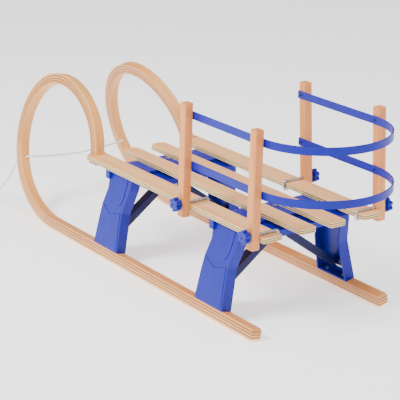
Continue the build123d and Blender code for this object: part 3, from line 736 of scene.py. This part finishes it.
@dataclass
class PullRope:
    """The pull rope with its put-away coil and its two knots."""

    radius: float = 0.0025
    coil_radius: float = 0.0275
    turn_step: float = 0.0052
    turns_end: float = 1222.0
    points_a_turn: int = 18
    knot_scale: float = 0.00148
    knot_strand: float = 0.0021
    knot_points: int = 24
    knot_depth: float = 1.3
    knot_resolution: int = 6
    rope_resolution: int = 10
    # Degrees along the coil where the rope steps in, climbs on top and steps out again.
    step_in: tuple[float, float] = (300.0, 360.0)
    climb: tuple[float, float] = (600.0, 690.0)
    step_out: tuple[float, float] = (900.0, 960.0)
    # A quadratic spline runs a little inside its control points.
    swell: float = 0.75
    # Distance past the coil, and how far down to the end knot's height, at the last points.
    tail: tuple[tuple[float, float], ...] = ((0.009, 0.3), (0.019, 1.0))
    braid_pitch: float = 0.009
    # Route in millimetres from the runners' rear ends, from the right horn to the coil.
    route: tuple[tuple[float, float, float], ...] = (
        (1050.1, -147.6, 140.2),
        (1038.5, -125.5, 138.0),
        (1037.0, -62.0, 131.5),
        (1036.5, 2.0, 128.5),
        (1037.0, 64.0, 132.0),
        (1038.5, 125.5, 138.0),
        (1050.1, 147.6, 140.2),
        (1100.2, 152.1, 118.0),
        (1108.0, 162.0, 88.0),
        (1118.0, 177.0, 58.0),
        (1132.0, 198.0, 31.0),
        (1151.0, 224.0, 11.0),
        (1170.0, 250.0, 2.8),
        (1185.0, 273.0, 2.6),
    )
    first: tuple[float, float, float] = (1085.78, -150.84, 124.56)

    def place(self, point: Sequence[float]) -> Vector:
        """Return a route point in the frame, in metres."""
        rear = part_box("left_runner")[0][0]
        return Vector((rear + point[0] * MM, point[1] * MM, point[2] * MM))

    def coil_line(self, last: Vector, before: Vector) -> list[Vector]:
        """Return the points of the coil's turns and of the tail to the end knot.

        Args:
            last: The route's last point, on the outer turn.
            before: The point before it.

        Returns:
            Points in order along the rope.
        """
        heading = Vector((last.x - before.x, last.y - before.y, 0)).normalized()
        outer = self.coil_radius + self.turn_step / 2
        low = last.z
        centre = Vector((last.x - heading.y * outer, last.y + heading.x * outer, 0))
        start = math.atan2(last.y - centre.y, last.x - centre.x)
        step = 360 / self.points_a_turn
        shrink = math.cos(math.radians(step / 2)) ** self.swell
        points = []
        turned = step
        while turned <= self.turns_end:
            inward = self.ease(turned, *self.step_in) - self.ease(turned, *self.step_out)
            raised = self.ease(turned, *self.climb)
            radius = (outer - inward * self.turn_step) / shrink
            angle = start + math.radians(turned)
            points.append(
                Vector(
                    (
                        centre.x + radius * math.cos(angle),
                        centre.y + radius * math.sin(angle),
                        low + raised * self.turn_step,
                    )
                )
            )
            turned += step
        angle = start + math.radians(self.turns_end)
        away = Vector((-math.sin(angle), math.cos(angle), 0))
        leave = centre + outer * Vector((math.cos(angle), math.sin(angle), 0))
        knot_low, knot_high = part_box("rope_end_knot")
        knot_height = (knot_low[2] + knot_high[2]) / 2
        for run, share in self.tail:
            height = low + self.turn_step * (1 - share) + (knot_height - low) * share
            points.append(Vector((leave.x, leave.y, height)) + away * run)
        return points

    @staticmethod
    def ease(angle: float, start: float, end: float) -> float:
        """Return 0 before start, 1 after end and a smooth step between them."""
        share = min(max((angle - start) / (end - start), 0.0), 1.0)
        return share * share * (3 - 2 * share)

    def make_knot(self, node: str, material: bpy.types.Material) -> bpy.types.Object:
        """Return a pulled-tight overhand knot in the place of a knot's ball.

        Args:
            node: The ball's name.
            material: The rope's finish.

        Returns:
            The knot.
        """
        low, high = (Vector(corner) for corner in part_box(node))
        middle = (low + high) / 2
        curve = bpy.data.curves.new(node + "_line", "CURVE")
        curve.dimensions = "3D"
        curve.bevel_depth = self.knot_strand
        curve.bevel_resolution = BEVEL_RESOLUTION
        curve.resolution_u = self.knot_resolution
        spline = curve.splines.new("NURBS")
        spline.points.add(self.knot_points - 1)
        for number, point in enumerate(spline.points):
            t = math.tau * number / self.knot_points
            x = math.sin(t) + 2 * math.sin(2 * t)
            y = math.cos(t) - 2 * math.cos(2 * t)
            z = -math.sin(3 * t) * self.knot_depth
            spot = middle + Vector((z, x, y)) * self.knot_scale
            point.co = (spot.x, spot.y, spot.z, 1)
        spline.order_u = CURVE_ORDER
        spline.use_cyclic_u = True
        line = bpy.data.objects.new(node + "_strand", curve)
        bpy.context.collection.objects.link(line)
        bpy.ops.object.select_all(action="DESELECT")
        line.select_set(True)
        bpy.context.view_layer.objects.active = line
        bpy.ops.object.convert(target="MESH")
        bpy.ops.object.shade_smooth()
        knot = bpy.context.object
        knot.data.materials.clear()
        knot.data.materials.append(material)
        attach(knot, ROOT)
        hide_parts(node)
        LOG.info("%s tied", node)
        return knot

    def build(self, effects: Effects) -> None:
        """Args:
            effects: The shared surface effects.
        """
        points = [self.place(point) for point in (self.first,) + self.route]
        points += self.coil_line(points[-1], points[-2])
        curve = bpy.data.curves.new("pull_rope_line", "CURVE")
        curve.dimensions = "3D"
        curve.bevel_depth = self.radius
        curve.bevel_resolution = BEVEL_RESOLUTION
        curve.resolution_u = self.rope_resolution
        curve.use_fill_caps = True
        spline = curve.splines.new("NURBS")
        spline.points.add(len(points) - 1)
        for control, point in zip(spline.points, points):
            control.co = (point.x, point.y, point.z, 1)
        spline.order_u = CURVE_ORDER
        spline.use_endpoint_u = True
        length = spline.calc_length()
        rope = bpy.data.objects.new("white_pull_rope", curve)
        bpy.context.collection.objects.link(rope)
        braid = BraidedRope(
            "braided_rope",
            roughness=0.85,
            bump=0.0006,
            light=linear(253, 253, 252),
            # dark is painted shade for the valleys between the strands.
            dark=linear(222, 223, 226),
            repeats=length / self.braid_pitch,
        )
        rope.data.materials.append(braid.build(effects))
        knot_finish = SolidRope(
            "knotted_rope",
            roughness=0.85,
            bump=0.0005,
            light=linear(252, 252, 251),
            # dark is painted shade for the low parts between the ribs.
            dark=linear(220, 221, 224),
        )
        material = knot_finish.build(effects)
        knots = [self.make_knot(node, material) for node in ("rope_stop_knot", "rope_end_knot")]
        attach(rope, ROOT)
        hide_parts("pull_rope", "rope_coil")
        LOG.info("pull rope %.3f m", length)


@dataclass
class Dressing:
    """Gives every carried-over piece its finish."""

    effects: Effects

    def finishes(self) -> dict[str, bpy.types.Material]:
        """Build the finishes.

        Returns:
            The materials by their slot names.
        """
        bottom, top = (corner[2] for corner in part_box("left_inner_slat"))
        return {
            "bent_wood": BentLaminate(
                "bent_laminated_wood",
                roughness=0.42,
                bump=0.0004,
                light=linear(246, 176, 100),
                dark=linear(216, 132, 62),
                glue=linear(62, 28, 12),
            ).build(self.effects),
            "slat_plywood": Plywood(
                "slat_plywood",
                roughness=0.42,
                bump=0.0003,
                light=linear(252, 190, 128),
                dark=linear(234, 158, 96),
                ply_light=linear(250, 222, 158),
                ply_dark=linear(112, 70, 38),
                bottom=bottom,
                thickness=top - bottom,
            ).build(self.effects),
            "post_wood": SolidWood(
                "post_wood",
                roughness=0.42,
                bump=0.0004,
                light=linear(238, 154, 80),
                dark=linear(210, 118, 54),
                grain=Grain.ALONG_Z,
            ).build(self.effects),
            "blue_plastic": MouldedPlastic(
                "royal_blue_plastic",
                roughness=0.36,
                bump=0.00008,
                colour=linear(2, 12, 150),
                rubbed=linear(8, 26, 170),
            ).build(self.effects),
            # The struts get the royal blue plastic painted darker: painted shade for where they sit
            # under the seat.
            "blue_strut": MouldedPlastic(
                "shaded_blue_plastic",
                roughness=0.4,
                bump=0.00008,
                colour=linear(5, 12, 74),
                rubbed=linear(9, 20, 92),
            ).build(self.effects),
            "zinc": ZincSteel(
                "zinc_plate",
                roughness=0.28,
                bump=0.00005,
                light=linear(214, 216, 220),
                dark=linear(176, 180, 186),
            ).build(self.effects),
        }

    def dress(self) -> None:
        """Put the finishes on the frame's pieces by their material slots."""
        materials = self.finishes()
        for part in frame["record"]["subparts"]:
            material = materials.get(part["material_slot"])
            piece = frame["nodes"][part["node"]]
            if material is None:
                continue
            piece.data.materials.clear()
            piece.data.materials.append(material)
            LOG.info("%s gets %s", part["node"], material.name)


@dataclass(frozen=True)
class Lamp:
    """A soft round lamp that looks at the sledge."""

    name: str
    place: tuple[float, float, float]
    size: float
    power: float

    def hang(self, aim: Vector) -> None:
        """Hang the lamp.

        Args:
            aim: The point that it looks at.
        """
        data = bpy.data.lights.new(self.name, "AREA")
        data.shape = "DISK"
        data.size = self.size
        data.energy = self.power
        light = bpy.data.objects.new(self.name, data)
        light.location = self.place
        turn = (aim - Vector(self.place)).to_track_quat("-Z", "Y")
        light.rotation_euler = turn.to_euler()
        bpy.context.collection.objects.link(light)


@dataclass
class Studio:
    """Plain pale floor, soft lights and the camera."""

    camera_place: tuple[float, float, float] = (-2.469, 1.982, 1.324)
    looking: tuple[float, float, float] = (0.787, -0.531, -0.314)
    lens: float = 142.6
    sensor: float = 36.0
    far_clip: float = 50.0
    floor_size: float = 14.0
    floor_drop: float = 0.0005
    floor_roughness: float = 0.8
    floor_glow: float = 1.0
    air_strength: float = 0.4
    aim: tuple[float, float, float] = (0.0, 0.0, 0.15)
    lamps: tuple[Lamp, ...] = (
        Lamp("key", (0.3, 3.2, 3.4), 1.6, 250),
        Lamp("fill", (-3.4, -0.6, 2.2), 3.0, 40),
        Lamp("top", (-0.8, -0.2, 4.2), 3.0, 100),
    )

    def build(self) -> None:
        """Make the camera, the floor, the lamps and the pale air."""
        self.add_camera()
        self.add_floor()
        for lamp in self.lamps:
            lamp.hang(Vector(self.aim))
        world = bpy.data.worlds.new("studio_air")
        bpy.context.scene.world = world
        world.use_nodes = True
        air = world.node_tree.nodes["Background"]
        air.inputs[0].default_value = (1.0, 1.0, 1.0, 1.0)
        air.inputs[1].default_value = self.air_strength

    def add_camera(self) -> None:
        """Add the camera, its place counted from the runners' rear ends."""
        data = bpy.data.cameras.new("camera")
        data.lens = self.lens
        data.sensor_width = self.sensor
        data.clip_end = self.far_clip
        camera = bpy.data.objects.new("camera", data)
        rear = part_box("left_runner")[0][0]
        camera.location = Vector(self.camera_place) + Vector((rear, 0, 0))
        turn = Vector(self.looking).to_track_quat("-Z", "Y")
        camera.rotation_euler = turn.to_euler()
        bpy.context.collection.objects.link(camera)
        bpy.context.scene.camera = camera

    def add_floor(self) -> None:
        """Add a wide pale floor under the runners."""
        bpy.ops.object.select_all(action="DESELECT")
        bpy.ops.mesh.primitive_plane_add(size=self.floor_size, location=(0, 0, -self.floor_drop))
        floor = bpy.context.object
        floor.name = "floor"
        bpy.ops.object.transform_apply(location=True)
        material = bpy.data.materials.new("pale_floor")
        material.use_nodes = True
        shader = material.node_tree.nodes["Principled BSDF"]
        graph = Graph(material.node_tree)
        cloud = graph.noise(graph.place(), scale=1.5, detail=2.0, rough=0.5)
        colour = graph.tint(cloud, linear(246, 246, 247), linear(250, 250, 250))
        graph.feed(shader.inputs["Base Color"], colour)
        shader.inputs["Roughness"].default_value = self.floor_roughness
        shader.inputs["Emission Color"].default_value = (1.0, 1.0, 1.0, 1.0)
        shader.inputs["Emission Strength"].default_value = self.floor_glow
        floor.data.materials.append(material)


def main() -> None:
    """Build the studio, the rope and the finishes."""
    logging.basicConfig(level=logging.INFO, format="%(name)s: %(message)s")
    Studio().build()
    effects = Effects()
    PullRope().build(effects)
    Dressing(effects).dress()


if __name__ == "__main__":
    main()
